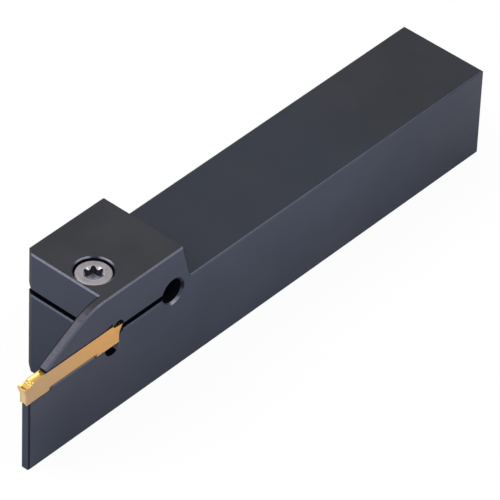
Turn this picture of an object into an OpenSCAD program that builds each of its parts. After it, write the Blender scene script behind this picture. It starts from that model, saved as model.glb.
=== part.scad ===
// Right-hand parting and grooving holder for a lathe, with one two-ended insert.
// A square steel shank carries a taller head, and the head carries a thin blade
// that is flush with one side. A slot through the head leaves a springy upper jaw,
// and one socket screw pulls that jaw down on the insert.
// +X points at the cutting edge, +Y at the blade's side and +Z up. The origin is on
// the base, half way along the whole tool and half way across the shank.

/* [Shank] */
// Width of the shank
shank_w = 20; // [18:1:32]
// Height of the shank, which is the height of the cutting edge too
shank_h = 20; // [18:1:32]
// Length of the steel body, from its rear end to the front of the blade
body_len = 125; // [90:1:170]
// Chamfer along the outer edges of the body
edge_bevel = 0.3; // [0.1:0.05:0.5]

/* [Head] */
// Length of the head, from its rear foot to the front of the blade
head_len = 42.2; // [40:0.1:60]
// Height of the head above the shank
head_rise = 8; // [7:0.5:12]
// Lean of the head's rear face, in degrees from upright
head_lean = 15; // [5:1:30]
// Chamfer of the upright front edge away from the blade, measured across the head
corner_bevel_w = 1.8; // [0.5:0.1:2.5]
// The same chamfer measured along the head
corner_bevel_l = 1.3; // [0.5:0.1:2.5]

/* [Blade] */
// Thickness of the blade
blade_t = 1.75; // [1.7:0.05:1.9]
// Reach of the blade in front of the head, the depth that it can cut
blade_reach = 19.55; // [18:0.05:20]
// Setback of the upper jaw's tip from the front of the blade
jaw_setback = 4.3; // [3.5:0.1:6]
// Height of the upper jaw's tip above the cutting edge
jaw_tip_rise = 1.15; // [1.1:0.05:1.8]
// Fall of the upper jaw towards its tip, in degrees
jaw_fall = 30; // [26:0.5:34]

/* [Slot] */
// Width of the slot that sets the upper jaw free
slot_w = 1.2; // [0.8:0.1:1.6]
// Depth of the slot's middle below the cutting edge
slot_drop = 1.1; // [1:0.1:1.4]
// Chamfer along the slot's edges
slot_bevel = 0.3; // [0.1:0.05:0.4]
// Bore of the round hole at the root of the slot
root_hole_d = 5; // [3:0.5:6]
// Chamfer around the root hole
root_hole_bevel = 0.5; // [0.2:0.1:0.8]
// Distance from the front of the blade back to the root hole
root_hole_setback = 37.5; // [36:0.1:37.8]

/* [Pocket] */
// Depth of the insert pocket where it runs back into the head
pocket_depth = 2.1; // [2.05:0.05:3]
// Height of the shoulder between the two pads of the seat
shoulder_h = 0.5; // [0.3:0.05:0.6]
// Gap between the insert's lips and the steel of the seat
seat_gap = 0.05; // [0.03:0.01:0.1]
// Gap between the insert's lips and the steel of the upper jaw
jaw_gap = 0.1; // [0.1:0.05:0.3]
// Height of the flat that stops the insert
stop_h = 1.6; // [1:0.1:1.8]
// Diameter of the relief under the insert's rear corner
corner_relief_d = 3.75; // [2:0.25:4]
// Depth of that relief, from the side of the blade
corner_relief_depth = 3; // [2.5:0.5:6]
// Radius of the relief around the insert's idle cutting edge
edge_relief_r = 1.3; // [1.1:0.05:1.5]

/* [Insert] */
// Length of the insert over both cutting edges
insert_len = 25.2; // [23:0.1:25.2]
// Overhang of the cutting edge past the front of the blade
insert_overhang = 1.25; // [1:0.05:1.5]
// Width of the cutting edges
cut_w = 2; // [1.8:0.05:2.1]
// Width of the insert's body
insert_w = 1.6; // [1.4:0.05:1.65]
// Height of the insert from its lower lips to the cutting edge
insert_h = 4.05; // [3.9:0.05:4.4]
// Rise of the insert's upper lips above the cutting edge
lip_rise = 0.45; // [0.3:0.05:0.6]
// Length of the rake face behind a cutting edge
rake_len = 1.9; // [1.5:0.1:2.5]
// Run of the step from the rake face up to the lips
step_run = 0.6; // [0.3:0.1:1]
// Depth of the hollow chip former in the rake face
former_depth = 0.12; // [0.05:0.01:0.2]
// Setback of the end face at its foot from the cutting edge
relief_run = 0.6; // [0.3:0.05:0.7]
// Drop from the cutting edge to that foot
relief_drop = 1.8; // [1.2:0.1:2]
// Depth of the grooves along the insert's top and bottom
groove_depth = 0.3; // [0.2:0.05:0.4]
// Length of each pad under the ends of the insert
pad_len = 5.9; // [4:0.1:7]
// Height of the recess between the two pads
recess_h = 0.55; // [0.5:0.05:0.8]
// Length over which a wide cutting end narrows to the body
end_taper_len = 3; // [2:0.1:4]

/* [Clamp screw] */
// Distance from the front of the head back to the screw
screw_setback = 4.5; // [4.5:0.05:6]
// Distance from the blade's side of the head in to the screw
screw_inset = 7.2; // [6.8:0.1:10]
// Thread diameter of the screw
screw_d = 4; // [3:0.5:4]
// Length of the screw under its head
screw_len = 16; // [12:1:17]
// Diameter of the screw head
screw_head_d = 7; // [6:0.5:7]
// Height of the screw head
screw_head_h = 4; // [3:0.5:4.4]
// Depth of the head's top below the top of the holder
screw_sink = 0.5; // [0.2:0.1:1]
// Gap around the screw head in its counterbore
head_gap = 0.5; // [0.2:0.1:0.5]
// Gap around the screw where it passes the upper jaw
jaw_hole_gap = 0.25; // [0.1:0.05:0.4]
// Gap around the screw in its tapped hole
thread_gap = 0.04; // [0.02:0.01:0.08]
// Size of the hexalobular socket over its six points
socket_d = 3.94; // [2.5:0.01:3.95]
// Depth of the socket
socket_depth = 2; // [1:0.1:2.5]

/* [Hidden] */
$fn = 96;
over = 1;

// Stations along X
front_x = (body_len - insert_overhang)/2;
rear_x = front_x - body_len;
foot_x = front_x - head_len;
crest_x = foot_x + head_rise*tan(head_lean);
block_x = front_x - blade_reach;
tip_x = front_x - jaw_setback;
root_hole_x = front_x - root_hole_setback;
edge_x = front_x + insert_overhang;
insert_mid_x = edge_x - insert_len/2;
idle_edge_x = edge_x - insert_len;
stop_x = idle_edge_x + relief_run;
screw_x = block_x - screw_setback;

// Stations across Y
side_y = shank_w/2;
blade_back_y = side_y - blade_t;
insert_mid_y = side_y - blade_t/2;
screw_y = side_y - screw_inset;

// Levels along Z
edge_z = shank_h;
top_z = shank_h + head_rise;
slot_z = edge_z - slot_drop;
lip_top_z = edge_z + lip_rise;
lip_low_z = edge_z - insert_h;
seat_z = lip_low_z - seat_gap;
shoulder_z = seat_z + shoulder_h;
jaw_under_z = lip_top_z + jaw_gap;
jaw_tip_z = edge_z + jaw_tip_rise;
head_top_z = top_z - screw_sink;
head_floor_z = head_top_z - screw_head_h;

// The upper jaw falls in a straight line that meets the flat top at fall_x, and a
// round of jaw_round joins the two, starting at the front of the head
fall_x = tip_x - (top_z - jaw_tip_z)/tan(jaw_fall);
jaw_round = (fall_x - block_x)/tan(jaw_fall/2);
round_end_x = block_x + jaw_round*sin(jaw_fall);
round_end_z = top_z - jaw_round*(1 - cos(jaw_fall));

// Slope of the insert's grooves, and the width of the ridges that fit them
groove_rate = groove_depth/(insert_w/2);
ridge_half = 0.35*insert_w;
ridge_flat = 0.06*insert_w;
ridge_root = 0.3;

// Half length of the recess under the insert, and how far the shoulder stays inside it
recess_half = insert_len/2 - relief_run - pad_len;
shoulder_inset = 0.2;

// Middle of the round relief for the idle cutting edge, and where its roof comes down
edge_relief_x = idle_edge_x + 0.85;
edge_relief_z = edge_z - 0.15;
roof_x = idle_edge_x + rake_len + step_run + jaw_gap;

// Extrudes a shape drawn in X and Z across the tool, from y towards -Y
module across(y, depth) {
    translate([0, y, 0]) rotate([90, 0, 0]) linear_extrude(depth) children();
}

// Extrudes a shape drawn in Y and Z along the tool, from x towards +X
module along(x, length) {
    translate([x, 0, 0]) rotate([90, 0, 90]) linear_extrude(length) children();
}

// Cutter for the chamfer of an edge that runs from a to b, given in X and Z, at y
module edge_cut(a, b, y, size) {
    run = b - a;
    translate([a[0], y, a[1]]) rotate([0, -atan2(run[1], run[0]), 0])
        rotate([45, 0, 0]) translate([0, -size/sqrt(2), -size/sqrt(2)])
            cube([norm(run), size*sqrt(2), size*sqrt(2)]);
}

// Cutter for the chamfer of an edge that runs across the tool at x and z
module cross_cut(x, z, y_low, y_high, size) {
    translate([x, y_low, z]) rotate([0, 45, 0])
        translate([-size/sqrt(2), 0, -size/sqrt(2)])
            cube([size*sqrt(2), y_high - y_low, size*sqrt(2)]);
}

// Side view of the shank and the head behind the blade
module block_outline() {
    polygon([
        [rear_x, 0], [rear_x, shank_h], [foot_x, shank_h],
        [crest_x, top_z], [block_x, top_z], [block_x, 0]
    ]);
}

// Side view of the blade, with the round that starts the upper jaw's fall
module blade_outline() {
    difference() {
        polygon([
            [screw_x, 0], [screw_x, top_z], [fall_x, top_z],
            [tip_x, jaw_tip_z], [tip_x, edge_z], [front_x, edge_z], [front_x, 0]
        ]);
        difference() {
            polygon([[block_x, top_z], [block_x, top_z + over], [fall_x, top_z + over],
                [fall_x, top_z], [round_end_x, round_end_z]]);
            translate([block_x, top_z - jaw_round]) circle(jaw_round, $fn = 180);
        }
    }
}

// Side view of the room for the insert, open at the front
module pocket_outline() {
    shoulder_half = recess_half - shoulder_inset;
    stop_z = seat_z + stop_h;
    slot_low = slot_z - slot_w/2;
    polygon([
        [front_x + over, seat_z],
        [insert_mid_x + shoulder_half, seat_z],
        [insert_mid_x + shoulder_half - shoulder_h, shoulder_z],
        [insert_mid_x - shoulder_half + shoulder_h, shoulder_z],
        [insert_mid_x - shoulder_half, seat_z],
        [stop_x, seat_z],
        [stop_x, stop_z],
        [stop_x - (slot_low - stop_z), slot_low],
        [stop_x - (slot_low - stop_z), slot_z],
        [edge_relief_x, edge_relief_z + edge_relief_r],
        [roof_x, jaw_under_z],
        [front_x + over, jaw_under_z]
    ]);
    translate([edge_relief_x, edge_relief_z]) circle(edge_relief_r);
}

// Slot through the head with its root hole, and the chamfers of both
module slot_cut() {
    across(side_y + over, shank_w + 2*over) translate([root_hole_x, slot_z]) {
        translate([0, -slot_w/2]) square([block_x - root_hole_x + over, slot_w]);
        circle(d = root_hole_d);
    }
    for (side = [-1, 1]) {
        translate([root_hole_x, side*side_y, slot_z]) rotate([side*90, 0, 0])
            cylinder(d1 = root_hole_d + 2*root_hole_bevel, d2 = root_hole_d, h = root_hole_bevel);
        slot_lip_along(side);
    }
    slot_lip_front();
}

// Chamfer of the slot's two edges on one side of the head
module slot_lip_along(side) {
    half = slot_w/2;
    reach = (side > 0 ? edge_relief_x - edge_relief_r : block_x) - root_hole_x;
    along(root_hole_x, reach)
        polygon([
            [side*(side_y - slot_bevel), slot_z - half], [side*side_y, slot_z - half - slot_bevel],
            [side*side_y, slot_z + half + slot_bevel], [side*(side_y - slot_bevel), slot_z + half]
        ]);
}

// Chamfer of the slot's two edges on the front of the head
module slot_lip_front() {
    half = slot_w/2;
    across(blade_back_y, shank_w - blade_t)
        polygon([
            [block_x - slot_bevel, slot_z - half], [block_x, slot_z - half - slot_bevel],
            [block_x, slot_z + half + slot_bevel], [block_x - slot_bevel, slot_z + half]
        ]);
}

// Counterbore, clearance hole and tapped hole for the screw
module screw_cut() {
    rim_bevel = 0.15;
    head_r = screw_head_d/2 + head_gap;
    tap_room = 1.5;
    translate([screw_x, screw_y, 0]) {
        translate([0, 0, head_floor_z]) cylinder(r = head_r, h = top_z - head_floor_z + over);
        translate([0, 0, top_z - rim_bevel])
            cylinder(r1 = head_r, r2 = head_r + rim_bevel, h = rim_bevel);
        translate([0, 0, slot_z])
            cylinder(r = screw_d/2 + jaw_hole_gap, h = head_floor_z - slot_z + over);
        translate([0, 0, head_floor_z - screw_len - tap_room])
            cylinder(r = screw_d/2 + thread_gap, h = slot_z - head_floor_z + screw_len + tap_room);
    }
}

// Section of a V ridge whose flanks lie on the flanks of the insert's groove. The
// ridge points up from its root, or down where way is -1, and apex_z is the groove's.
module ridge_section(root_z, apex_z, way) {
    flank = function(half) apex_z - way*groove_rate*half;
    right = [[ridge_half, root_z - way*ridge_root], [ridge_half, flank(ridge_half)],
        [ridge_flat, flank(ridge_flat)]];
    left = [for (i = [2:-1:0]) [-right[i][0], right[i][1]]];
    translate([insert_mid_y, 0]) polygon(concat(right, left));
}

// V ridges that hold the insert in line, on the seat and under the upper jaw
module ridges() {
    along(stop_x, front_x - stop_x) ridge_section(seat_z, lip_low_z + groove_depth, 1);
    along(roof_x, tip_x - roof_x) ridge_section(jaw_under_z, lip_top_z - groove_depth, -1);
}

// Round relief under the insert's rear corner, drilled from the blade's side
module corner_relief_cut() {
    across(side_y + over, corner_relief_depth + over)
        translate([stop_x + corner_relief_d/2, seat_z]) circle(d = corner_relief_d);
}

// Chamfers along the outer edges of the body
module edge_cuts() {
    shank_rear = [[rear_x, 0], [rear_x, shank_h], [foot_x, shank_h]];
    head_back = [[foot_x, shank_h], [crest_x, top_z], [block_x, top_z]];
    for (y = [-side_y, side_y]) {
        for (i = [0:1]) {
            edge_cut(shank_rear[i], shank_rear[i + 1], y, edge_bevel);
            edge_cut(head_back[i], head_back[i + 1], y, edge_bevel);
        }
    }
    edge_cut([rear_x, 0], [front_x, 0], side_y, edge_bevel);
    edge_cut([rear_x, 0], [block_x, 0], -side_y, edge_bevel);
    edge_cut([front_x, 0], [front_x, seat_z], side_y, edge_bevel);
    edge_cut([round_end_x, round_end_z], [tip_x, jaw_tip_z], side_y, edge_bevel);
    edge_cut([insert_mid_x - recess_half, shoulder_z], [insert_mid_x + recess_half, shoulder_z],
        side_y, edge_bevel/2);
    round_cut();
    cross_cut(rear_x, 0, -side_y, side_y, edge_bevel);
    cross_cut(rear_x, shank_h, -side_y, side_y, edge_bevel);
    cross_cut(block_x, top_z, -side_y, blade_back_y, edge_bevel);
    translate([block_x, -side_y, -over]) linear_extrude(top_z + 2*over)
        polygon([[-2*corner_bevel_l, -corner_bevel_w], [corner_bevel_l, 2*corner_bevel_w],
            [corner_bevel_l, -corner_bevel_w]]);
}

// Cutter for the chamfer along the round of the upper jaw, in short straight steps that
// run on past each other, as each cut's plane clears its neighbours
module round_cut() {
    steps = 10;
    spare = edge_bevel;
    point = function(i) [block_x + jaw_round*sin(i*jaw_fall/steps),
        top_z - jaw_round*(1 - cos(i*jaw_fall/steps))];
    for (i = [0:steps - 1]) {
        run = point(i + 1) - point(i);
        translate([point(i)[0], side_y, point(i)[1]]) rotate([45, -atan2(run[1], run[0]), 0])
            translate([-spare, -edge_bevel/sqrt(2), -edge_bevel])
                cube([norm(run) + 2*spare, 2*edge_bevel, 2*edge_bevel]);
    }
}

module holder_body() {
    color([0.27, 0.28, 0.33]) {
        difference() {
            union() {
                across(side_y, shank_w) block_outline();
                across(side_y, blade_t) blade_outline();
            }
            across(side_y + over, pocket_depth + over) pocket_outline();
            corner_relief_cut();
            slot_cut();
            screw_cut();
            edge_cuts();
        }
        difference() {
            ridges();
            corner_relief_cut();
        }
    }
}

// Side view of the insert about its own middle, the same at both ends
module insert_outline() {
    half = insert_len/2;
    recess_z = lip_low_z + recess_h;
    right = [
        [half - rake_len - step_run, lip_top_z], [half - rake_len, edge_z], [half, edge_z],
        [half - relief_run, edge_z - relief_drop], [half - relief_run, lip_low_z],
        [recess_half, lip_low_z], [recess_half - recess_h, recess_z]
    ];
    left = [for (i = [len(right) - 1:-1:0]) [-right[i][0], right[i][1]]];
    polygon(concat(right, left));
}

// One cutting end, as wide as the cut at its edge and narrowing back and down
module cutting_end() {
    half = insert_len/2;
    intersection() {
        across(cut_w/2, cut_w) insert_outline();
        translate([half - end_taper_len, 0, lip_low_z])
            linear_extrude(insert_h + lip_rise)
                polygon([[0, -insert_w/2], [end_taper_len, -cut_w/2],
                    [end_taper_len, cut_w/2], [0, insert_w/2]]);
        along(half - end_taper_len, end_taper_len)
            polygon([[-insert_w/2, edge_z - relief_drop], [-cut_w/2, edge_z],
                [-cut_w/2, lip_top_z], [cut_w/2, lip_top_z],
                [cut_w/2, edge_z], [insert_w/2, edge_z - relief_drop]]);
    }
}

// Cutter for the hollow behind one cutting edge
module chip_former() {
    land = 0.15;
    hollow = rake_len - land;
    round_r = (hollow*hollow/4 + former_depth*former_depth)/(2*former_depth);
    translate([insert_len/2 - land - hollow/2, cut_w, edge_z - former_depth + round_r])
        rotate([90, 0, 0]) cylinder(r = round_r, h = 2*cut_w, $fn = 180);
}

module grooving_insert() {
    half_w = insert_w/2;
    color([0.85, 0.66, 0.36])
        translate([insert_mid_x, insert_mid_y, 0]) difference() {
            union() {
                across(half_w, insert_w) insert_outline();
                for (turn = [0, 180]) rotate([0, 0, turn]) cutting_end();
            }
            for (turn = [0, 180]) rotate([0, 0, turn]) chip_former();
            along(-insert_len/2, insert_len) {
                polygon([[-half_w, lip_top_z], [0, lip_top_z - groove_depth], [half_w, lip_top_z]]);
                polygon([[-half_w, lip_low_z], [0, lip_low_z + groove_depth], [half_w, lip_low_z]]);
            }
        }
}

// Outline of the six-lobed socket: round points outside, round waists between them
module hexalobe(d) {
    point_r = 0.0774*d;
    waist_d = 0.711*d;
    point_c = d/2 - point_r;
    waist_r = (point_c*point_c + waist_d*waist_d/4 - point_c*waist_d*cos(30) - point_r*point_r)
        /(2*point_r - waist_d + 2*point_c*cos(30));
    waist_c = waist_d/2 + waist_r;
    difference() {
        circle(r = point_c);
        for (i = [0:5]) rotate(30 + 60*i) translate([waist_c, 0]) circle(r = waist_r);
    }
    for (i = [0:5]) rotate(60*i) translate([point_c, 0]) circle(r = point_r);
}

module clamp_screw() {
    head_r = screw_head_d/2;
    rim = 0.35;
    point = 0.5;
    lead_in = 0.12;
    color([0.72, 0.71, 0.70])
        translate([screw_x, screw_y, head_floor_z]) difference() {
            union() {
                cylinder(r = head_r, h = screw_head_h - rim);
                translate([0, 0, screw_head_h - rim]) rotate_extrude() {
                    square([head_r - rim, rim]);
                    intersection() {
                        translate([head_r - rim, 0]) circle(rim);
                        square([head_r, rim]);
                    }
                }
                translate([0, 0, point - screw_len]) cylinder(d = screw_d, h = screw_len - point);
                translate([0, 0, -screw_len]) cylinder(d1 = screw_d - 2*point, d2 = screw_d, h = point);
            }
            translate([0, 0, screw_head_h - socket_depth]) rotate(45)
                linear_extrude(socket_depth + over) hexalobe(socket_d);
            translate([0, 0, screw_head_h - lead_in])
                cylinder(d1 = socket_d - 2*lead_in, d2 = socket_d, h = lead_in);
        }
}

holder_body();
grooving_insert();
clamp_screw();
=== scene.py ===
# %% [markdown]
# # A parting and grooving tool holder
# The object is a lathe tool: a square steel shank, a taller head with a thin blade on one
# side, a gold-coated carbide insert and one socket screw. The solids come ready made in a
# fixed frame, in metres, with +X towards the cutting edge, +Y towards the blade's side and
# +Z up. This lesson dresses them: it keeps every size, adds the fine forms that a solid
# model leaves out, and gives each surface its finish. Sizes are read most easily in
# millimetres, so they are written that way and `MM` turns them into metres.

# %% Load the frame
import math

import bmesh
import bpy
from mathutils import Matrix, Vector


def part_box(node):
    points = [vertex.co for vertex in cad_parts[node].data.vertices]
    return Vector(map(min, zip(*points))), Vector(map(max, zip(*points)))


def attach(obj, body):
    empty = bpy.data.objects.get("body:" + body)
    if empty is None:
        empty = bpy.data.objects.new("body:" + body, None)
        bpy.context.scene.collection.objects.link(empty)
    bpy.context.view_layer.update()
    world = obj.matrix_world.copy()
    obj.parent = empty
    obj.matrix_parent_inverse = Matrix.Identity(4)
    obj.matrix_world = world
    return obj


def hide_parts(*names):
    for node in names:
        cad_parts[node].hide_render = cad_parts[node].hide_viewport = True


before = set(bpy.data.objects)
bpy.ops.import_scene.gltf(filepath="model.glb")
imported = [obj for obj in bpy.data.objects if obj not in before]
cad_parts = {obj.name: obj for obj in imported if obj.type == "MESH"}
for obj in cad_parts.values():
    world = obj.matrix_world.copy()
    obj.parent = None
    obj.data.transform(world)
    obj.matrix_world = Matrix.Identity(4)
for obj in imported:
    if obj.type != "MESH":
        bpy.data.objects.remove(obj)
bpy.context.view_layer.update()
MM = 0.001
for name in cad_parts:
    low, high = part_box(name)
    print(name, "spans", [round((b - a) / MM, 2) for a, b in zip(low, high)], "mm")

# %% [markdown]
# ## Two small helpers
# An object in Blender is a name and a place for some data, such as a mesh, a lamp or a
# camera, and it shows only once a collection holds it. Cameras and lamps look down their own
# -Z axis, so both are placed by the direction from the aim back to them.

# %% Objects and directions
def add_object(name, data):
    made = bpy.data.objects.new(name, data)
    bpy.context.scene.collection.objects.link(made)
    return made


def looking_back(direction, spot):
    """A matrix that stands at a spot and looks against the direction."""
    turned = direction.to_track_quat("Z", "Y").to_matrix().to_4x4()
    return Matrix.Translation(spot) @ turned


print("helpers for objects and directions are ready")

# %% [markdown]
# ## The camera
# The photograph was taken from far away with a long lens, so the long edges of the shank
# stay nearly parallel. The eye's place could be typed in as three coordinates. Here it is
# given as a direction round the object, a distance and a small roll, which is how a
# photographer would write it down, and each can be corrected alone. The angles come from
# lining the shank's edges up with the picture.

# %% Place the camera
AIM = Vector((-6.61, 1.48, 4.80)) * MM
AZIMUTH, ELEVATION, ROLL = map(math.radians, (130.241, 40.388, 2.449))
DISTANCE = 958.2 * MM
FOCAL_MM, SENSOR_MM = 370.1, 36.0
NEAR, FAR = 0.01, 20

back = Vector((math.sin(AZIMUTH) * math.cos(ELEVATION),
               -math.cos(AZIMUTH) * math.cos(ELEVATION), math.sin(ELEVATION)))
camera_data = bpy.data.cameras.new("camera")
camera_data.lens = FOCAL_MM
camera_data.sensor_width = SENSOR_MM
camera_data.clip_start, camera_data.clip_end = NEAR, FAR
camera = add_object("camera", camera_data)
camera.matrix_world = looking_back(back, AIM + back * DISTANCE) @ Matrix.Rotation(ROLL, 4, "Z")
bpy.context.scene.camera = camera
print("camera at", [round(v / MM) for v in camera.matrix_world.translation], "mm")

# %% [markdown]
# ## Shader maths as expressions
# A pattern is a short sum of numbers. In the node editor that becomes a long chain of boxes,
# so it reads best as an expression. This class wraps a socket and gives it the usual
# operators, and each operator adds one Math node behind the scenes. `over` and `under` give
# 1 or 0 on the two sides of an edge, and `ramp` goes smoothly from 0 to 1 between two.

# %% A socket that can do arithmetic
class Value:
    def __init__(self, tree, socket):
        self.tree = tree
        self.socket = socket

    def math(self, operation, *others):
        return self.tree.node("ShaderNodeMath", {"operation": operation}, self, *others)

    def __add__(self, other):
        return self.math("ADD", other)

    def __sub__(self, other):
        return self.math("SUBTRACT", other)

    def __rsub__(self, other):
        return self.tree.node("ShaderNodeMath", {"operation": "SUBTRACT"}, other, self)

    def __mul__(self, other):
        return self.math("MULTIPLY", other)

    def __truediv__(self, other):
        return self.math("DIVIDE", other)

    def __pow__(self, other):
        return self.math("POWER", other)

    def __abs__(self):
        return self.math("ABSOLUTE")

    def over(self, edge):
        return self.math("GREATER_THAN", edge)

    def under(self, edge):
        return self.math("LESS_THAN", edge)

    def up_to_one(self):
        return self.math("MINIMUM", 1.0)

    def ramp(self, low, high):
        settings = {"interpolation_type": "SMOOTHSTEP"}
        return self.tree.node("ShaderNodeMapRange", settings, self, low, high)

    __radd__ = __add__
    __rmul__ = __mul__


print("a wrapped socket can", [name for name in vars(Value) if not name.startswith("_")])

# %% [markdown]
# ## A tree that adds its own nodes
# `Tree.node` adds any node from its type, its settings and its inputs, so no material needs
# lines of its own for links. Colours can't pass through a Math node, which turns them grey,
# so `blend` lays one colour over another by a mask, and `coats` does that for a whole list,
# as a painter would: the ground first, then each thin coat where its mask lets it through.

# %% Nodes, colours and coats
class Tree:
    def __init__(self, node_tree):
        self.nodes = node_tree.nodes
        self.links = node_tree.links
        self.nodes.clear()

    def feed(self, socket, value):
        if isinstance(value, Value):
            self.links.new(value.socket, socket)
        elif value is not None:
            socket.default_value = value

    def node(self, kind, settings=None, *inputs, out=0, **named):
        made = self.nodes.new(kind)
        for key, value in (settings or {}).items():
            setattr(made, key, value)
        for index, value in enumerate(inputs):
            self.feed(made.inputs[index], value)
        for key, value in named.items():
            self.feed(made.inputs[key.replace("_", " ")], value)
        return Value(self, made.outputs[out]) if made.outputs else None

    def place(self):
        return self.node("ShaderNodeTexCoord", out="Object")

    def part(self, vector, axis):
        return self.node("ShaderNodeSeparateXYZ", None, vector, out="XYZ".index(axis))

    def parts(self, vector):
        return [self.part(vector, axis) for axis in "XYZ"]

    def stretch(self, vector, scale):
        return self.node("ShaderNodeVectorMath", {"operation": "MULTIPLY"}, vector, scale)

    def noise(self, vector, scale, detail=3.0, rough=0.5):
        return self.node("ShaderNodeTexNoise", None, Vector=vector, Scale=scale, Detail=detail,
                         Roughness=rough)

    def blend(self, factor, first, second):
        mixed = self.nodes.new("ShaderNodeMix")
        mixed.data_type = "RGBA"
        for index, value in ((0, factor), (6, first), (7, second)):
            self.feed(mixed.inputs[index], value)
        return Value(self, mixed.outputs[2])

    def coats(self, colour, *layers):
        for mask, paint in layers:
            colour = self.blend(mask, colour, paint)
        return colour


def rgb(red, green, blue):
    return (red, green, blue, 1.0)


def new_material(name):
    material = bpy.data.materials.new(name)
    material.use_nodes = True
    return material, Tree(material.node_tree)


print("a tree can add", [name for name in vars(Tree) if not name.startswith("_")])

# %% [markdown]
# ## From a colour to a metal
# All three pieces shine like metal and have a relief too fine to model, so they share one
# ending: a Bump node turns the relief's height into a tilt of the light, and a Principled
# shader takes the colour, the roughness and that tilt.

# %% The shader that all pieces share
def metal(tree, colour, rough, metallic, height, strength, distance, specular=0.5):
    bump = tree.node("ShaderNodeBump", None, Strength=strength, Distance=distance, Height=height)
    return tree.node("ShaderNodeBsdfPrincipled", None, Base_Color=colour, Roughness=rough,
                     Metallic=metallic, Normal=bump, Specular_IOR_Level=specular)


def finish_material(material, tree, surface):
    tree.node("ShaderNodeOutputMaterial", None, Surface=surface)
    print(material.name, "has", len(tree.nodes), "nodes")
    return material


print("helpers for a material's end are ready")

# %% [markdown]
# ## The floor and the world
# The photograph is a cut-out on white. A white floor could be lit until it clips, but that
# light would reach the object too. Instead the floor and the world behind it are plain white
# to the camera's own rays. To all other rays the floor is pale paper and the world a soft
# sky, and those two light the sides. A little of the paper shows to the camera as well, so
# the floor keeps a faint shadow. It lies a hair under the object, so that the floor and the
# object's underside don't flicker through each other.

# %% White floor and world
FLOOR_SIZE, FLOOR_Z = 4.0, -0.05 * MM
PAPER = rgb(0.88, 0.88, 0.88)
WHITE = rgb(1, 1, 1)
SHOWN_WHITE = 0.94
SKY, SKY_STRENGTH = rgb(0.92, 0.95, 1.0), 0.70


def white_floor():
    material, tree = new_material("floor_white")
    seen = tree.node("ShaderNodeLightPath", out="Is Camera Ray")
    lit = tree.node("ShaderNodeBsdfDiffuse", None, PAPER)
    plain = tree.node("ShaderNodeEmission", None, WHITE, 1.0)
    paper = tree.node("ShaderNodeMixShader", None, seen * SHOWN_WHITE, lit, plain)
    return finish_material(material, tree, paper)


def add_floor():
    mesh = bpy.data.meshes.new("floor")
    half = FLOOR_SIZE / 2
    corners = [(x * half, y * half, FLOOR_Z) for x, y in ((-1, -1), (1, -1), (1, 1), (-1, 1))]
    mesh.from_pydata(corners, [], [(0, 1, 2, 3)])
    mesh.materials.append(white_floor())
    return add_object("floor", mesh)


def add_world():
    world = bpy.data.worlds.new("studio")
    bpy.context.scene.world = world
    world.use_nodes = True
    tree = Tree(world.node_tree)
    seen = tree.node("ShaderNodeLightPath", out="Is Camera Ray")
    fill = tree.node("ShaderNodeBackground", None, SKY, SKY_STRENGTH)
    white = tree.node("ShaderNodeBackground", None, WHITE, 1.0)
    both = tree.node("ShaderNodeMixShader", None, seen, fill, white)
    tree.node("ShaderNodeOutputWorld", None, Surface=both)


floor = add_floor()
add_world()
print("floor", FLOOR_SIZE, "m wide at", FLOOR_Z / MM, "mm")

# %% [markdown]
# ## The lamps
# Dark metal shows mostly what it mirrors, so small lamps would leave hard spots. Large soft
# squares do better: one high on the left lights the chamfers of the upper edges, one on the
# right lights the slope of the jaw, and one in front fills the sides.

# %% Three soft lamps
LAMPS = {
    "rim_lamp": {"direction": (-0.43, 0.54, 0.72), "away": 1.3, "size": 0.7, "watts": 4.8,
                 "colour": (0.96, 0.95, 1.0)},
    "jaw_lamp": {"direction": (0.46, -0.52, 0.72), "away": 0.9, "size": 0.7, "watts": 6.0,
                 "colour": (1.0, 0.96, 0.99)},
    "front_lamp": {"direction": (0.45, 0.95, 0.50), "away": 1.3, "size": 0.6, "watts": 2.2,
                   "colour": (0.90, 0.94, 1.0)},
}


def add_lamp(name, direction, away, size, watts, colour):
    data = bpy.data.lights.new(name, "AREA")
    data.shape = "SQUARE"
    data.size = size
    data.energy = watts
    data.color = colour
    toward = Vector(direction).normalized()
    add_object(name, data).matrix_world = looking_back(toward, toward * away)


for name, facts in LAMPS.items():
    add_lamp(name, **facts)
    print(name, "gives", facts["watts"], "W from", facts["away"], "m")
bpy.context.scene.view_settings.view_transform = "Standard"

# %% [markdown]
# ## Where things are on the body
# The body's paint has to know its chamfers, holes and cuts. They could be marked by hand with
# vertex colours, but the solid is made of long thin triangles, and a colour on their corners
# would smear across them. So each place is a number here, read off the solid, and a mask
# asks how far a point of the surface is from it.

# %% Places on the body
insert_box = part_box("grooving_insert")
INSERT_TOP = insert_box[1][2]
# The slot and the round hole at its root.
HOLE_X, SLOT_Z, HOLE_R, HOLE_BEVEL_R = 24.375 * MM, 18.9 * MM, 2.52 * MM, 3.0 * MM
SLOT_HALF, SLOT_LIP_HALF = 0.62 * MM, 1.0 * MM
# The screw's bore and its countersunk rim.
BORE_X, BORE_Y, BORE_R, RIM_R = 37.825 * MM, 2.8 * MM, 3.83 * MM, 4.06 * MM
BORE_LOW, BORE_TOP = 1.0 * MM, 27.74 * MM
# The round relief behind the insert, and where its wall ends inside the head.
RELIEF_X, RELIEF_Z, RELIEF_R = 40.40 * MM, 15.9 * MM, 1.90 * MM
RELIEF_WALL_X, RELIEF_WALL_Y = 39.2 * MM, 6.9 * MM
# The shank along x: its rear end, and where the head rises from it.
REAR_END_X, REAR_X0, REAR_X1, FOOT_X = -62.0 * MM, -50.0 * MM, -20.0 * MM, 19.7 * MM
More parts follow.
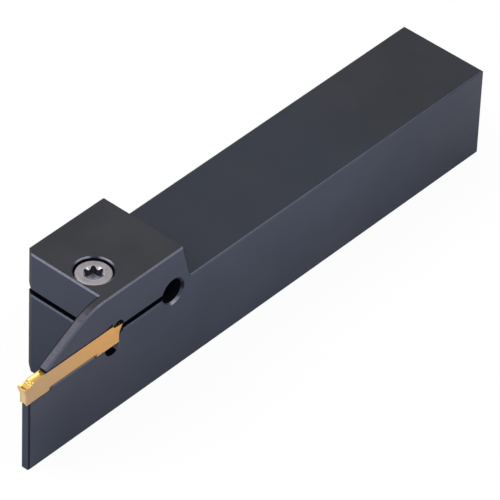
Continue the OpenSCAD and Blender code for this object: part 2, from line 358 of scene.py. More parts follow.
# The head's front face, the jaw's slope beside it, and the jaw's tip.
FRONT_X, STRIP_Y, TIP_X, TIP_Z0 = 42.5 * MM, 8.46 * MM, 57.5 * MM, 20.5 * MM
FRONT_Z0, FRONT_Z1 = 17.0 * MM, 20.5 * MM
print("root hole at x", round(HOLE_X / MM, 2), "mm, insert's top at", round(INSERT_TOP / MM, 2), "mm")

# %% [markdown]
# ## What the masks share
# Several masks ask the same things of a point: its coordinates, which way its face looks, and
# how far it is from a hole's axis. The answers are worked out once and kept together.
# A chamfer is known by its normal, which leans to two axes at once.

# %% Coordinates, directions and distances
def distance(across, up):
    return (across * across + up * up) ** 0.5


class BodySpot:
    """What the body's masks ask of a point on its surface."""

    def __init__(self, tree):
        self.place = tree.place()
        self.x, self.y, self.z = tree.parts(self.place)
        facing = tree.parts(tree.node("ShaderNodeNewGeometry", out="True Normal"))
        self.lean_x, self.lean_y, self.lean_z = (abs(part) for part in facing)
        self.upward = facing[2]
        self.forward = facing[0].ramp(0.85, 0.97)
        self.from_hole = distance(self.x - HOLE_X, self.z - SLOT_Z)
        self.from_relief = distance(self.x - RELIEF_X, self.z - RELIEF_Z)
        self.bore_x, self.bore_y = self.x - BORE_X, self.y - BORE_Y
        self.from_bore = distance(self.bore_x, self.bore_y)


print("root hole and relief are", round(math.hypot(RELIEF_X - HOLE_X, RELIEF_Z - SLOT_Z) / MM, 1),
      "mm apart")

# %% [markdown]
# ## Cuts and corners with painted shade
# Gloss on the walls inside the holes, the slot and the bore would catch the soft lamps and make them
# look shallow, so a mask gives them a near-black painted shade. A thinner painted shade lies on the
# head's upright corners, behind the slope of the jaw, on the jaw's tip, and on the thin seam where
# the jaw bears on the insert.

# %% Masks of the painted shade
SEAM_LOW, SEAM_HIGH, ROOF_RISE = 0.05 * MM, 0.42 * MM, 0.45
ROOF_X0, ROOF_X1 = 40.5 * MM, 42.5 * MM


def inside_cuts(at):
    """1 on the walls of the holes, the slot and the screw's bore, 0 elsewhere."""
    hole = at.from_hole.under(HOLE_R)
    slot = abs(at.z - SLOT_Z).under(SLOT_HALF) * at.x.over(HOLE_X)
    bore = at.from_bore.under(BORE_R) * at.z.under(BORE_TOP) * at.z.over(BORE_LOW)
    relief = at.from_relief.under(RELIEF_R) * at.x.over(RELIEF_WALL_X) * at.y.over(RELIEF_WALL_Y)
    return (hole + slot + bore + relief).up_to_one()


def insert_seam_shade(at):
    """1 in the line of painted shade over the insert, which climbs to the roof over its rear end."""
    height = at.z - INSERT_TOP
    above = height - (1 - at.x.ramp(ROOF_X0, ROOF_X1)) * ROOF_RISE * MM
    seam = height.over(SEAM_LOW) * above.under(SEAM_HIGH) * at.x.over(RELIEF_X)
    return seam * at.y.over(STRIP_Y) * at.upward.under(0.2)


# Painted shade: near black in the cuts, thinner on upright corners, behind the jaw's slope, on the
# jaw's tip and along the seam over the insert.
def painted_shade(at):
    upright = (at.lean_x * at.lean_y).over(0.3) * at.lean_z.under(0.2)
    back_edge = at.y.under(STRIP_Y) * at.x.over(FRONT_X) * at.upward.over(0.2)
    tip_face = at.x.over(TIP_X) * at.z.over(TIP_Z0) * at.upward.under(0.2)
    return (inside_cuts(at) + upright * 0.65 + back_edge * 0.8 + tip_face * 0.6
            + insert_seam_shade(at) * 0.85).up_to_one()


print("seam over the insert is", round((SEAM_HIGH - SEAM_LOW) / MM, 2), "mm high")

# %% [markdown]
# ## Worn edges and painted highlights
# The narrow upper chamfers read lighter, partly as oxide worn off by handling and partly as a painted
# highlight, but less so towards the rear end and near the jaw's tip. Real edges wear in grains, so a
# fine noise breaks this up. The countersunk rim of the bore gets a painted highlight in two arcs and
# is dark between them. The round edge of the root hole gets a painted highlight on its lower side,
# and so does the wall of the relief where it comes out at the side.

# %% Masks of the worn and highlit places
# Along x: where the wear and painted highlight of the chamfers grow from the rear, and where they
# fade at the tip.
WORN_X0, WORN_X1, FADE_X0, FADE_X1 = -60.0 * MM, 15.0 * MM, 45.0 * MM, 50.0 * MM
# The way across the rim's two arcs of painted highlight, and the way down to the root hole's side
# with the painted highlight.
ARC_X, ARC_Y = -0.65, 0.76
DOWN_X, DOWN_Z = 0.23, 0.97


def rim_highlight_arcs(at):
    """The two masks of the bore's rim: where it is, and where its painted highlight lies."""
    rim = at.from_bore.under(RIM_R) * at.z.over(BORE_TOP)
    across = abs(at.bore_y * ARC_Y + at.bore_x * ARC_X) / at.from_bore
    return rim, across.ramp(0.12, 0.35) * (1 - across.ramp(0.75, 0.95))


# Worn oxide and painted highlight on the upward-facing chamfers, weaker at the slot's lip, growing
# from the rear and fading at the tip.
def worn_and_highlit_chamfers(at, chamfer, grit):
    slot_lip = abs(at.z - SLOT_Z).under(SLOT_LIP_HALF)
    wear_and_highlight = chamfer * (1 - slot_lip * 0.8) * (grit * 0.7 + 0.2)
    from_rear = at.x.ramp(WORN_X0, WORN_X1) * 0.6 + 0.4
    return wear_and_highlight * from_rear * (1 - at.x.ramp(FADE_X0, FADE_X1) * 0.5)


def worn_and_highlit_edges(at, grit):
    leaning = at.lean_x * at.lean_y + at.lean_y * at.lean_z + at.lean_x * at.lean_z
    chamfer = leaning.over(0.46) * at.upward.over(0.3)
    wear_and_highlight = worn_and_highlit_chamfers(at, chamfer, grit)
    # Painted highlight: two arcs on the bore's rim, in place of the chamfer wear there.
    rim, arcs = rim_highlight_arcs(at)
    wear_and_highlight = wear_and_highlight * (1 - rim) + rim * arcs * 1.9
    # Painted highlight on the lower side of the root hole's round edge.
    lower_side = ((HOLE_X - at.x) * DOWN_X + (SLOT_Z - at.z) * DOWN_Z) / at.from_hole
    hole_rim = at.from_hole.under(HOLE_BEVEL_R) * chamfer
    wear_and_highlight = wear_and_highlight * (1 - hole_rim * 0.7) + hole_rim * lower_side.ramp(0.88, 0.97) * 1.25
    # Painted highlight on the relief's wall where it comes out at the side.
    lit_wall = at.from_relief.under(RELIEF_R) * at.x.under(RELIEF_WALL_X) * at.y.over(RELIEF_WALL_Y)
    return wear_and_highlight + lit_wall * 1.9


print("rubbed rim of the bore is", round((RIM_R - BORE_R) / MM, 2), "mm wide")

# %% [markdown]
# ## The colour of black oxide
# Oxide is almost black but keeps the sheen of the metal under it, with a blue cast and soft clouds
# where it took unevenly. One flat colour would look like paint. So the upright faces and the flat
# ones each have a colour, both clouded, and these paint how the light falls on them: the tops lighter
# and neutral, the sides bluish. Coats over them add a faint violet tint, a painted shade on the rear
# end and on the lower front faces, and the speckle of the jaw's slope.

# %% Colours of the body
def oxide_colour(tree, at, clouds):
    cloudy = clouds.ramp(0.3, 0.7)
    tint = tree.noise(at.place, 38.0, 3.0, 0.5)
    speckle = tree.noise(at.place, 5200.0, 2.0, 0.7).ramp(0.45, 0.62)
    bluish = at.x.ramp(REAR_X0, REAR_X1) * at.x.under(FOOT_X)
    # Painted shade: darker towards the rear end, and on the front faces darker towards the bottom.
    rear_shade = 1 - at.x.ramp(REAR_END_X, REAR_X1)
    low_front_shade = at.forward * (1 - at.z.ramp(FRONT_Z0, FRONT_Z1) * 0.65)
    slope = at.upward.over(0.3) * at.upward.under(0.96) * at.x.over(FRONT_X) * at.y.over(STRIP_Y)
    # The two colours paint light: the tops lighter and neutral, the sides bluish.
    cool = tree.blend(cloudy, rgb(0.030, 0.036, 0.058), rgb(0.039, 0.046, 0.070))
    flat = tree.blend(cloudy, rgb(0.036, 0.037, 0.041), rgb(0.046, 0.046, 0.050))
    flat = tree.blend(bluish * 0.7, flat, rgb(0.032, 0.038, 0.053))
    return tree.coats(
        tree.blend(at.upward.ramp(0.75, 0.97), cool, flat),
        (tint.ramp(0.42, 0.72) * 0.3, rgb(0.052, 0.050, 0.062)),
        (rear_shade * 0.3, rgb(0.010, 0.014, 0.022)),
        (low_front_shade, rgb(0.020, 0.028, 0.051)),
        (slope * speckle * 0.35, rgb(0.085, 0.082, 0.100)))


print("the shank's flat top is bluish from x", round(REAR_X0 / MM), "to", round(FOOT_X / MM, 1), "mm")

# %% [markdown]
# ## Blackened steel
# The body is ground tool steel with a thin black oxide. Very fine grinding lines run along the shank.
# A noise stretched some forty times along X makes them; it is smaller than an image and has no seams.
# The clouds and lines go into the roughness, and the lines and the grit into the bump. The masks
# above decide where worn bare metal with painted highlights shows, and where the near-black painted
# shade shows.

# %% Material for the body
GRIND_STRETCH = (60.0, 2600.0, 2600.0)
PAINTED_SHADE_BLACK = rgb(0.004, 0.004, 0.006)
BARE_STEEL_AND_HIGHLIGHT = rgb(0.24, 0.24, 0.29)


def blackened_steel():
    material, tree = new_material("blackened_steel")
    at = BodySpot(tree)
    clouds = tree.noise(at.place, 90.0, 4.0, 0.55)
    lines = tree.noise(tree.stretch(at.place, GRIND_STRETCH), 1.0, 2.0, 0.5)
    grit = tree.noise(at.place, 2200.0, 2.0, 0.6)
    # Worn edges and painted highlights lay a bare-steel colour over the oxide.
    worn_and_highlit = tree.blend(worn_and_highlit_edges(at, grit) * 0.52, oxide_colour(tree, at, clouds), BARE_STEEL_AND_HIGHLIGHT)
    rough = 0.42 + (clouds - 0.5) * 0.14 + (lines - 0.5) * 0.12
    shader = metal(tree, worn_and_highlit, rough, metallic=0.6, height=lines * 0.4 + grit * 0.6,
                   strength=0.10, distance=0.03 * MM, specular=0.35)
    # A near-black diffuse coat, mixed in by the mask, is painted shade.
    shade_bsdf = tree.node("ShaderNodeBsdfDiffuse", None, PAINTED_SHADE_BLACK)
    both = tree.node("ShaderNodeMixShader", None, painted_shade(at), shader, shade_bsdf)
    return finish_material(material, tree, both)


steel = blackened_steel()

# %% [markdown]
# ## The body
# The body's solid is kept as it is but for the screw's bore. The real bore fits the screw's head more
# closely than the solid's, and its rim is broken by a wider countersink, on which two arcs of painted
# highlight lie. The bore could be cut anew with a Boolean, which leaves thin triangles around it.
# Moving the rings of points that are there already keeps the mesh as clean as it was, so a merged
# copy of the solid gets its new bore that way.

# %% Refit the screw's bore
HEAD_TOP, BORE_FLOOR = 28.0 * MM, 23.4 * MM
SOLID_BORE_R, SOLID_RIM_R = 4.0 * MM, 4.15 * MM
REAL_BORE_R, REAL_RIM = 3.80 * MM, 0.25 * MM


def refit_bore(mesh):
    middle = Vector((BORE_X, BORE_Y))
    moved = 0
    for vert in mesh.verts:
        ray = vert.co.xy - middle
        on_top = vert.co.z > HEAD_TOP - 0.01 * MM and abs(ray.length - SOLID_RIM_R) < 0.02 * MM
        on_wall = vert.co.z > BORE_FLOOR and abs(ray.length - SOLID_BORE_R) < 0.02 * MM
        if on_top or on_wall:
            vert.co.xy = middle + ray.normalized() * (REAL_BORE_R + REAL_RIM * on_top)
            moved += 1
        if on_wall and vert.co.z > HEAD_TOP - 0.2 * MM:
            vert.co.z = HEAD_TOP - REAL_RIM
    print("moved", moved, "points of the bore")


shell = bmesh.new()
shell.from_mesh(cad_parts["holder_body"].data)
bmesh.ops.remove_doubles(shell, verts=shell.verts, dist=1e-6)
refit_bore(shell)
body_mesh = bpy.data.meshes.new("body")
shell.to_mesh(body_mesh)
shell.free()
body_mesh.materials.clear()
body_mesh.materials.append(steel)
body = add_object("body", body_mesh)
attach(body, "holder")
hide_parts("holder_body")
print("body has", len(body_mesh.polygons), "faces")

# %% [markdown]
# ## Where the insert's wear and painted light lie
# The insert is pressed and sintered carbide under a thin gold-coloured coating. Its ends and lower
# rims wear first and read lighter. A painted shade lies on the top of its rear end inside the pocket,
# in the gap under the recess of its belly, in the hollow behind the cutting edge in deep gold, and on
# one flank of the V groove in brown. A painted highlight lies on the middle of its front face. Each
# is a mask again, measured from the insert's own box, so they follow it if its size changes.

# %% Masks on the insert
INSERT_Y = (insert_box[0][1] + insert_box[1][1]) / 2
REAR_X, EDGE_X, LOW_Z = insert_box[0][0], insert_box[1][0], insert_box[0][2]
INSERT_X = (REAR_X + EDGE_X) / 2
COAT_X0, COAT_X1, WORN_RIM = 40.0 * MM, 62.0 * MM, 0.16 * MM
GAP_H, GAP_HALF = 0.78 * MM, 6.2 * MM
FLANK_Y0, FLANK_Y1, FLANK_X = 0.25 * MM, 0.70 * MM, 1.9 * MM
HOLLOW_NEAR, HOLLOW_FAR = (0.2 * MM, 0.4 * MM), (0.7 * MM, 1.0 * MM)
HOLLOW_SIDE, NOSE_SIDE = (0.4 * MM, 0.9 * MM), (0.2 * MM, 0.9 * MM)


def worn_rims(x, z):
    return ((z - LOW_Z).under(WORN_RIM) + (x - REAR_X).under(WORN_RIM)).up_to_one()


# Painted shade in the gap under the recess of the belly.
def belly_gap_shade(x, z):
    return (z - LOW_Z).under(GAP_H) * abs(x - INSERT_X).under(GAP_HALF)


# Painted shade in the hollow behind the cutting edge.
def chip_hollow_shade(from_edge, off_mid):
    behind = from_edge.ramp(*HOLLOW_NEAR) * (1 - from_edge.ramp(*HOLLOW_FAR))
    return behind * (1 - off_mid.ramp(*HOLLOW_SIDE))


# Painted shade on one flank of the V groove.
def groove_flank_shade(from_edge, y, off_mid):
    return (y - INSERT_Y).over(FLANK_Y0) * off_mid.under(FLANK_Y1) * from_edge.over(FLANK_X)


print("insert's middle at", round(INSERT_X / MM, 2), round(INSERT_Y / MM, 2), "mm")

# %% [markdown]
# ## Coated carbide
# The sides of the insert are ground, so they scatter light and look tan. Its top is as
# pressed and polished, so it shines yellow. Two materials would need a hard border between
# them. One does both here: the part of the normal that points up moves the colour and the
# roughness, and the rounded edges get every step in between.

# %% Material for the insert
STROKE_STRETCH = (400.0, 400.0, 5200.0)


def coated_carbide():
    material, tree = new_material("coated_carbide")
    place = tree.place()
    x, y, z = tree.parts(place)
    facing = tree.node("ShaderNodeNewGeometry", out="Normal")
    top = tree.part(facing, "Z").ramp(0.35, 0.8)
    along, off_mid, from_edge = x.ramp(COAT_X0, COAT_X1), abs(y - INSERT_Y), EDGE_X - x
    # A painted highlight on the middle of the front face.
    nose_highlight = tree.part(facing, "X").ramp(0.6, 0.9) * (1 - off_mid.ramp(*NOSE_SIDE))
    grain = tree.noise(place, 1500.0, 3.0, 0.6)
    strokes = tree.noise(tree.stretch(place, STROKE_STRETCH), 1.0, 2.0, 0.5)
    patches = tree.noise(place, 1000.0, 4.0, 0.65)
    side = tree.blend(along, rgb(0.68, 0.36, 0.10), rgb(0.47, 0.32, 0.155))
    colour = tree.coats(
        tree.blend(patches.ramp(0.40, 0.75) * 0.45, side, rgb(0.62, 0.27, 0.14)),
        (top, rgb(1.0, 0.62, 0.17)),
        # Painted shade on the top of the rear end, inside the pocket.
        (top * (1 - along.over(0.05)), rgb(0.10, 0.05, 0.01)),
        (worn_rims(x, z) * (1 - top) * 0.6, rgb(0.74, 0.55, 0.30)),
        (belly_gap_shade(x, z) * (1 - top) * 0.65, rgb(0.05, 0.03, 0.03)),
        (top * chip_hollow_shade(from_edge, off_mid) * 0.7, rgb(0.16, 0.07, 0.015)),
        (top * groove_flank_shade(from_edge, y, off_mid) * 0.65, rgb(0.48, 0.21, 0.04)),
        (nose_highlight * 0.55, rgb(0.74, 0.56, 0.27)))
    rough = 0.46 - top * 0.26 + (strokes - 0.5) * 0.14
    shader = metal(tree, colour, rough, metallic=0.75, height=grain * 0.5 + strokes * 0.5,
                   strength=0.12, distance=0.02 * MM)
    return finish_material(material, tree, shader)


carbide = coated_carbide()

# %% [markdown]
# ## The insert's shape
# The insert is a bar with a cutting edge at both ends, a shallow groove along its top and
# bottom that the seat grips, and at each end a lowered rake with a small hollow that curls
# the chip. It could be carved from a block with Booleans, or modelled by hand. A cube's
# surface divided into a grid takes this shape more neatly: each grid point has a place
# along, across and up the bar, and a few plain functions say where that point goes. The mesh
# stays clean, and one formula can be changed without touching the others.

# %% Sizes of the insert, in millimetres
insert_low, insert_high = (Vector(corner) / MM for corner in insert_box)
insert_mid = (insert_low + insert_high) / 2
HALF_LEN = (insert_high.x - insert_low.x) / 2
EDGE_HALF_W = (insert_high.y - insert_low.y) / 2
SIDE_RELIEF, FRONT_RELIEF, RELIEF_H = 0.2, 0.6, 1.8
HALF_W = EDGE_HALF_W - SIDE_RELIEF
LIP_TOP, LIP_LOW = insert_high.z, insert_low.z
RAKE_LEN, RAKE_DROP, PAD_EASE = 1.9, 0.45, 0.42
EDGE_Z, STEP_X = LIP_TOP - RAKE_DROP, HALF_LEN - RAKE_LEN
GROOVE_DEEP, GROOVE_HALF = 0.30, 0.70
HOLLOW_DEEP, HOLLOW_HALF, HOLLOW_LESS = 0.26, 0.62, 0.55
HOLLOW_START, HOLLOW_FULL, HOLLOW_EASE = 0.14, 0.45, 0.7
DIMPLE_DEEP, DIMPLE_LEN, DIMPLE_HALF_W, DIMPLE_SHIFT = 0.34, 0.42, 0.36, 0.05
BELLY_DEEP, BELLY_X0, BELLY_X1 = 0.55, HALF_LEN - 7.05, HALF_LEN - 6.5
TAPER_LEN, FRONT_LEN = 3, 1.1
print("insert half length", round(HALF_LEN, 2), "mm, edge at", round(EDGE_Z, 2), "mm")

# %% [markdown]
# ## Heights along the insert
# `ease` and `line` both go from 0 to 1 between two places, one softly and one straight. The
# top's height is the pad at the full height or the lowered rake, less whichever is deepest
# of the V groove, the hollow of the chip former and the round dimple at the pad's foot.

# %% The insert's surfaces as functions
def line(start, end, value):
    return min(max((value - start) / (end - start), 0.0), 1.0)


def ease(start, end, value):
    t = line(start, end, value)
    return t * t * (3 - 2 * t)


def top_height(along, across):
    pad = ease(STEP_X, STEP_X - PAD_EASE, along)
    groove = GROOVE_DEEP * max(1 - (across / GROOVE_HALF) ** 2, 0.0)
    middle = ease(1.0, HOLLOW_HALF, abs(across))
    hollow = HOLLOW_DEEP * middle * ease(HALF_LEN - HOLLOW_START, HALF_LEN - HOLLOW_FULL, along)
    hollow *= 1 - HOLLOW_LESS * ease(HALF_LEN - HOLLOW_EASE, STEP_X + 0.2, along)
    ahead = along - STEP_X - DIMPLE_SHIFT
    reach = math.hypot(ahead / DIMPLE_LEN, across * EDGE_HALF_W / DIMPLE_HALF_W)
    dimple = DIMPLE_DEEP * max(1 - reach * reach, 0.0)
    return EDGE_Z + RAKE_DROP * pad - max(groove * pad, hollow * (1 - pad), dimple)


def low_height(along, across):
    recess = LIP_LOW + BELLY_DEEP * (1 - line(BELLY_X0, BELLY_X1, along))
    return max(recess, LIP_LOW + GROOVE_DEEP * (1 - across ** 2))


def insert_point(along, across, up):
    end = abs(along)
    z = low_height(end, across) * (1 - up) + top_height(end, across) * up
    clear = line(EDGE_Z - RELIEF_H, EDGE_Z, z)
    wide = SIDE_RELIEF * min(line(HALF_LEN - TAPER_LEN, HALF_LEN, end), clear)
    front = HALF_LEN - FRONT_RELIEF * (1 - clear)
    if end > HALF_LEN - FRONT_LEN:
        spare = (front - HALF_LEN + FRONT_LEN) * (end - HALF_LEN + FRONT_LEN)
        end = HALF_LEN - FRONT_LEN + spare / FRONT_LEN
    x = math.copysign(end, along)
    return Vector((insert_mid.x + x, insert_mid.y + across * (HALF_W + wide), z))


print("edge point of the insert", [round(v, 2) for v in insert_point(HALF_LEN, 0, 1)], "mm")

# %% [markdown]
# ## A grid round a block, and the finish of a mesh
# The first helper makes the six walls of the block share their edge points, so the skin is
# closed from the start. The second turns any of the lesson's meshes into an object: normals
# that point outwards, small bevels if wanted, and shading that is smooth on the curves and
# crisp where two faces meet at an angle.

# %% Helpers for meshes
def box_grid(stations, columns, rows, shape):
    """A closed skin over a block of grid points, each placed by shape(along, across, up)."""
    mesh = bmesh.new()
    last = [len(values) - 1 for values in (stations, columns, rows)]
    points = {}
    for i, a in enumerate(stations):
        for j, b in enumerate(columns):
            for k, c in enumerate(rows):
                if i in (0, last[0]) or j in (0, last[1]) or k in (0, last[2]):
                    points[i, j, k] = mesh.verts.new(shape(a, b, c) * MM)
    for axis in range(3):
        first, second = [n for n in range(3) if n != axis]
        for wall in (0, last[axis]):
            for m in range(last[first]):
                for n in range(last[second]):
                    corners = []
                    for dm, dn in ((0, 0), (1, 0), (1, 1), (0, 1)):
                        key = [0, 0, 0]
                        key[axis], key[first], key[second] = wall, m + dm, n + dn
                        corners.append(points[tuple(key)])
                    mesh.faces.new(corners)
    return mesh


def finish_piece(name, mesh, material, bevel=0.0, sharp=30.0):
    """Turn a bmesh into a plain object at the origin, with smooth faces and crisp edges."""
    bmesh.ops.recalc_face_normals(mesh, faces=mesh.faces)
    crisp = math.radians(sharp)
    if bevel:
        edges = [e for e in mesh.edges if e.is_manifold and e.calc_face_angle() > crisp]
        bmesh.ops.bevel(mesh, geom=edges, offset=bevel * MM, segments=2, profile=0.5,
                        affect="EDGES", clamp_overlap=True)
    for edge in mesh.edges:
        edge.smooth = not edge.is_manifold or edge.calc_face_angle() < crisp
    for face in mesh.faces:
        face.smooth = True
    data = bpy.data.meshes.new(name)
    mesh.to_mesh(data)
    mesh.free()
    data.materials.append(material)
    print(name, "has", len(data.polygons), "faces")
    return add_object(name, data)


# %% [markdown]
# ## Make the insert
# The grid is fine where the chip former needs it and coarse along the plain middle, with
# close pairs of stations where the belly's recess starts. One half is listed and mirrored.

# %% Grid, mesh and piece
fine = [HALF_LEN - 2.7 + 0.075 * i for i in range(37)]
coarse = [0.0, 2.0, 4.0, 5.4, 5.55, 5.8, 6.1, 6.25, 7.5, 8.7, 9.6]
half_stations = coarse + fine
stations = [-a for a in reversed(half_stations[1:])] + half_stations
columns = [-1 + i / 12 for i in range(25)]
rows = [0.0, 0.03, 0.12, 0.3, 0.45, 0.55, 0.65, 0.8, 0.92, 0.98, 1.0]
insert_mesh = box_grid(stations, columns, rows, insert_point)
insert = finish_piece("insert", insert_mesh, carbide, bevel=0.02, sharp=35)
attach(insert, "holder")
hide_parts("grooving_insert")

# %% [markdown]
# ## Screw steel
# The screw is plain hardened steel. Its head was turned, so faint rings run round its axis and the
# light spreads across them. An anisotropic shader could do that, but the rings themselves are just a
# noise of one number, the distance to the axis. A little warm tint is left on the rounded rim where
# the steel was tempered. The socket's walls get a dark painted shade. The punch pressed the socket's
# cone smooth, and the cone and the floor get a painted highlight.

# %% Material for the screw
screw_low, screw_high = (Vector(corner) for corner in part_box("clamp_screw"))
SCREW_X, SCREW_Y = (screw_low.x + screw_high.x) / 2, (screw_low.y + screw_high.y) / 2
SOCKET_MOUTH_R, PRESSED_Z = 2.05 * MM, screw_high.z - 1.0 * MM
WARM_R, ROUND_R, OUTER_R = 2.3 * MM, 2.8 * MM, 3.2 * MM


def screw_steel():
    material, tree = new_material("screw_steel")
    place = tree.place()
    x, y, z = tree.parts(place)
    upward = tree.part(tree.node("ShaderNodeNewGeometry", out="Normal"), "Z")
    radius = distance(x - SCREW_X, y - SCREW_Y)
    rings = tree.node("ShaderNodeTexNoise", {"noise_dimensions": "1D"}, W=radius * 9000.0,
                      Scale=1.0, Detail=2.0)
    patches = tree.noise(place, 420.0, 3.0, 0.5)
    warm = radius.ramp(WARM_R, OUTER_R) * patches.ramp(0.42, 0.60)
    socket = radius.under(SOCKET_MOUTH_R)
    # Painted highlight on the socket's cone and floor; the pressed cone is also smoother.
    socket_highlit = socket * upward.over(0.6)
    pressed_and_highlit = socket_highlit * z.over(PRESSED_Z)
    colour = tree.coats(
        tree.blend(patches.ramp(0.35, 0.7), rgb(0.34, 0.32, 0.32), rgb(0.43, 0.41, 0.41)),
        (warm * 0.4, rgb(0.44, 0.32, 0.29)),
        # Painted shade on the socket's walls.
        (socket * upward.under(0.4), rgb(0.06, 0.06, 0.072)),
        (socket_highlit, rgb(0.52, 0.50, 0.58)),
        (pressed_and_highlit, rgb(0.50, 0.48, 0.50)))
    rough = 0.40 + (rings - 0.5) * 0.16 + (patches - 0.5) * 0.12 - pressed_and_highlit * 0.15
    rough = rough + radius.ramp(ROUND_R, OUTER_R) * 0.25
    shader = metal(tree, colour, rough, metallic=0.8, height=rings, strength=0.10,
                   distance=0.02 * MM)
    return finish_material(material, tree, shader)


bright_steel = screw_steel()
print("screw axis at", round(SCREW_X / MM, 2), round(SCREW_Y / MM, 2), "mm")

# %% [markdown]
# ## The six-lobed socket
# The key's outline is six round points joined by six round waists that run into them without
# a corner. It could be drawn as twelve arcs. It is easier to use as a function: the
# wall's distance from the axis at any angle, which is where a ray from the middle first
# meets a waist or last leaves a point.

# %% The six-lobed outline, in millimetres
HEAD_R = (screw_high.x - screw_low.x) / 2 / MM
TOP_Z, TIP_Z = screw_high.z / MM, screw_low.z / MM
HEAD_FLOOR = TOP_Z - 4.0
SOCKET_R, POINT_R = 1.97, 0.50
WAIST = 0.765 * SOCKET_R
TURNED = math.radians(45)


def lobe_radius(angle):
    point_c = SOCKET_R - POINT_R
    cos30 = math.cos(math.radians(30))
    waist_r = (point_c ** 2 + WAIST ** 2 - 2 * point_c * WAIST * cos30 - POINT_R ** 2) / (
        2 * (POINT_R - WAIST + point_c * cos30))
    step = math.radians(60)
    off = abs((angle - TURNED + step / 2) % step - step / 2)
    inner = step / 2 - off
    along, beside = (WAIST + waist_r) * math.cos(inner), (WAIST + waist_r) * math.sin(inner)
    waist_hit = SOCKET_R
    if beside < waist_r:
        waist_hit = along - math.sqrt(waist_r ** 2 - beside ** 2)
    along, beside = point_c * math.cos(off), point_c * math.sin(off)
    if beside >= POINT_R:
        return waist_hit
    return min(waist_hit, along + math.sqrt(POINT_R ** 2 - beside ** 2))


sample = [round(lobe_radius(math.radians(d)), 3) for d in (45, 52, 60, 68, 75)]
print("socket radius from lobe to waist:", sample, "mm")

# %% [markdown]
# ## The screw's head
# The head has a rounded rim, a flat top and the socket. The socket starts in a short cone,
# so its outline is cut where the cone meets the walls, and that edge dips between the lobes.
# Rings of points describe all of it: each ring gives a radius and a height for every angle,
# and the socket's rings take their radius from the lobes. Spin would give plain circles only.

# %% Rings of the head
HEAD_COLUMNS = 144
NECK_R, CONE_R, FLAT_R, ROUND, UNDER_ROUND = 2.0, 1.93, 2.6, 0.36, 0.15
SOCKET_WALL, SOCKET_DEEP, CONE_SLOPE = 1.2, 1.85, 1.1


def head_rings(angle):
    lobe = lobe_radius(angle)
    cone_r = max(CONE_R, lobe + 0.005)
    rings = [(NECK_R, HEAD_FLOOR - 0.3), (NECK_R, HEAD_FLOOR), (HEAD_R - UNDER_ROUND, HEAD_FLOOR),
             (HEAD_R, HEAD_FLOOR + UNDER_ROUND), (HEAD_R, TOP_Z - ROUND)]
    for step in range(1, 7):
        turn = math.radians(15 * step)
        rings.append((HEAD_R - ROUND * (1 - math.cos(turn)), TOP_Z - ROUND * (1 - math.sin(turn))))
    rings += [(FLAT_R, TOP_Z), (cone_r, TOP_Z),
              ((cone_r + lobe) / 2, TOP_Z - (cone_r - lobe) * CONE_SLOPE / 2),
              (lobe, TOP_Z - (cone_r - lobe) * CONE_SLOPE),
              (lobe, TOP_Z - SOCKET_WALL), (lobe, TOP_Z - SOCKET_DEEP),
              (lobe * 0.6, TOP_Z - SOCKET_DEEP - 0.1), (lobe * 0.15, TOP_Z - SOCKET_DEEP - 0.15)]
    return rings


def ring_mesh(count, rings_at):
    mesh = bmesh.new()
    columns = []
    for i in range(count):
        angle = 2 * math.pi * i / count
        columns.append([mesh.verts.new((SCREW_X + r * MM * math.cos(angle),
                                        SCREW_Y + r * MM * math.sin(angle), z * MM))
                        for r, z in rings_at(angle)])
    for i in range(count):
        here, there = columns[i], columns[(i + 1) % count]
        for k in range(len(here) - 1):
            mesh.faces.new((here[k], there[k], there[k + 1], here[k + 1]))
    mesh.faces.new([column[0] for column in columns])
    mesh.faces.new([column[-1] for column in columns])
    return mesh


head = ring_mesh(HEAD_COLUMNS, head_rings)
print("head has", len(head.verts), "points on", len(head_rings(0)), "rings")

# %% [markdown]
# ## The screw's thread
# A thread is the plainest case of a shape that follows a rule: the radius depends only on how
# far a point is along the screw less how far it is round it. A profile could be swept along a
# helix with the Screw modifier. Geometry Nodes start with a cylinder and move every point by
# that one formula, so the thread fades out at both ends, the tip gets its lead-in, and the
# pitch and depth stay open inputs.

# %% Sizes of the thread, in millimetres
THREAD_LEN = HEAD_FLOOR - 0.2 - TIP_Z
THREAD_SIZES = {"Radius": 2.0, "Depth": 0.38, "Pitch": 0.7, "Length": THREAD_LEN}
ROD_SIDES, ROWS_PER_TURN = 48, 10
CREST, FLANK, FADE_TURNS = 0.12, 0.76, 0.9
LEAD_LEN, LEAD_IN = 0.5, 0.2
print("thread makes", round(THREAD_LEN / THREAD_SIZES["Pitch"], 1), "turns")

# %% [markdown]
# ## The thread's node tree
# The group's inputs are made first, then the chain of nodes from the cylinder to the output.
# Each turn of the thread has a flat crest, two flanks and a flat root, which is a zigzag
# with its tips cut off. The tree ends by making its result real and giving it a material.

# %% A node tree that cuts a thread
def thread_inputs(group):
    shape = group.interface
    for name, default in THREAD_SIZES.items():
        socket = shape.new_socket(name, in_out="INPUT", socket_type="NodeSocketFloat")
        socket.default_value = default * MM
    shape.new_socket("Material", in_out="INPUT", socket_type="NodeSocketMaterial")
    shape.new_socket("Geometry", in_out="OUTPUT", socket_type="NodeSocketGeometry")


def thread_shrink(x, y, z, radius, depth, pitch, length):
    """How far a point moves to the axis: the thread's flank, its ends and the tip's lead-in."""
    turn = y.math("ARCTAN2", x) / (2 * math.pi)
    phase = (z / pitch - turn).math("FRACT")
    flank = ((abs(phase * 2 - 1) - CREST) / FLANK).math("MAXIMUM", 0.0).up_to_one()
    fade = ((length / 2 - abs(z)) / (pitch * FADE_TURNS)).math("MAXIMUM", 0.0).up_to_one()
    tip = 1 - (z + length / 2 - LEAD_LEN * MM).under(0.0) * LEAD_IN
    return (1 - depth / radius * flank * fade) * tip


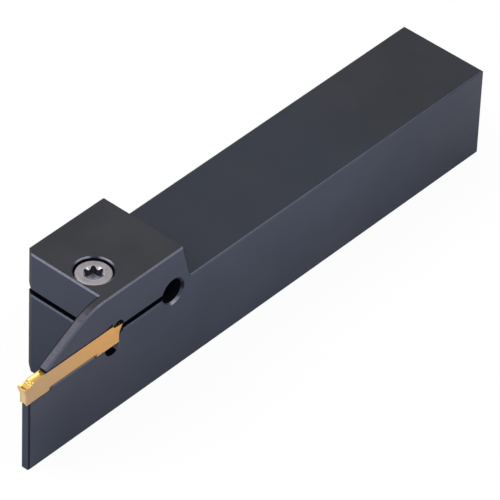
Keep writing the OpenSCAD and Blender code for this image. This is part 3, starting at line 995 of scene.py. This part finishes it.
def thread_tree():
    group = bpy.data.node_groups.new("cut_thread", "GeometryNodeTree")
    thread_inputs(group)
    tree = Tree(group)
    given = group.nodes.new("NodeGroupInput")
    radius, depth, pitch, length = (Value(tree, given.outputs[name]) for name in THREAD_SIZES)
    side_rows = (length / pitch * ROWS_PER_TURN).math("ROUND")
    rod = tree.node("GeometryNodeMeshCylinder", {"fill_type": "NGON"}, Vertices=ROD_SIDES,
                    Side_Segments=side_rows, Radius=radius, Depth=length)
    spot = tree.node("GeometryNodeInputPosition")
    shrink = thread_shrink(*tree.parts(spot), radius, depth, pitch, length)
    moved = tree.stretch(spot, tree.node("ShaderNodeCombineXYZ", None, shrink, shrink, 1.0))
    cut = tree.node("GeometryNodeSetPosition", None, Geometry=rod, Position=moved)
    real = tree.node("GeometryNodeRealizeInstances", None, cut)
    chosen = Value(tree, given.outputs["Material"])
    dressed = tree.node("GeometryNodeSetMaterial", None, Geometry=real, Material=chosen)
    tree.node("NodeGroupOutput", None, dressed)
    print("thread tree has", len(group.nodes), "nodes")
    return group


cut_thread = thread_tree()

# %% [markdown]
# ## From a node tree to a plain mesh
# A live modifier would make its points anew in every pose, so the tree is run once. An empty
# carrier gets it as a modifier, each input is set by its socket's identifier, and the
# evaluated result is kept as a mesh while the carrier goes away.

# %% Run a tree once
def plain_mesh(name, group, inputs):
    carrier = add_object(name, bpy.data.meshes.new(name))
    modifier = carrier.modifiers.new(name, "NODES")
    modifier.node_group = group
    for item in group.interface.items_tree:
        if item.in_out == "INPUT" and item.name in inputs:
            modifier[item.identifier] = inputs[item.name]
    graph = bpy.context.evaluated_depsgraph_get()
    made = bpy.data.meshes.new_from_object(carrier.evaluated_get(graph))
    bpy.data.objects.remove(carrier)
    return made


thread_values = {name: size * MM for name, size in THREAD_SIZES.items()}
thread_values["Material"] = bright_steel
thread = plain_mesh("thread", cut_thread, thread_values)
print("thread is", round(THREAD_LEN, 2), "mm long with", len(thread.polygons), "faces")

# %% [markdown]
# ## Make the screw
# The thread's rod ends inside the short neck under the head, so head and thread are two
# closed skins in one piece, with no gap between them. The screw rides on its own body,
# because it is the one part of the tool that turns.

# %% Join head and thread
thread.transform(Matrix.Translation((SCREW_X, SCREW_Y, (TIP_Z + THREAD_LEN / 2) * MM)))
head.from_mesh(thread)
screw = finish_piece("screw", head, bright_steel)
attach(screw, "screw")
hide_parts("clamp_screw")

# %% [markdown]
# ## Sizes
# Dressing a solid must not change its size. The spans of the loaded parts are printed where the frame
# is loaded, and they are not measured again here.
